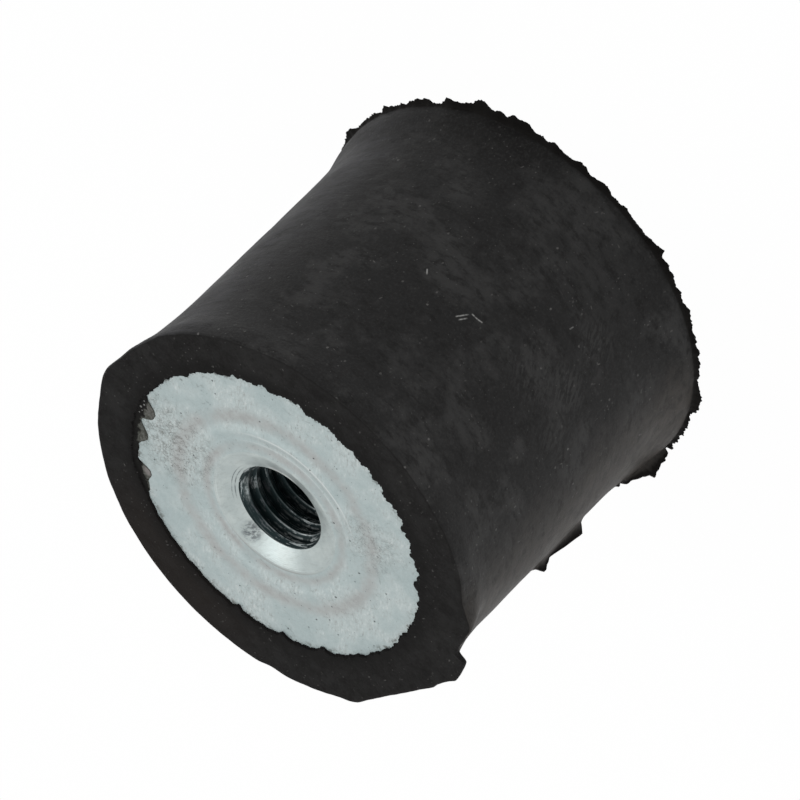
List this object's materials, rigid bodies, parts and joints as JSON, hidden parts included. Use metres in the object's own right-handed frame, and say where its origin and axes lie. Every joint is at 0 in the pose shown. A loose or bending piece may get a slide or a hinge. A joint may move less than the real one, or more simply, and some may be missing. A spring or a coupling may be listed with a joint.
{
  "type": "rubber buffer",
  "caption": "Cylindrical rubber buffer with a bonded steel plate and a blind threaded bush in each end, used to mount machines and damp vibration.",
  "frame": {"origin": "on the axis of the rubber, at the lower end face that it stands on", "axes": "+Z along the axis of the rubber, out of the upper end; -X towards the parting line that carries the flash"},
  "size_m": [0.0258, 0.0255, 0.0225],
  "materials": {
    "black_rubber": "satin",
    "zinc_plated_plate": "dull zinc plating, pitted and stained",
    "zinc_plated_bush": "satin zinc plating, turned"
  },
  "bodies": {
    "root": {"rubber_body": "black_rubber", "upper_end_plate": "zinc_plated_plate", "upper_threaded_bush": "zinc_plated_bush", "lower_end_plate": "zinc_plated_plate", "lower_threaded_bush": "zinc_plated_bush"}
  },
  "joints": []
}
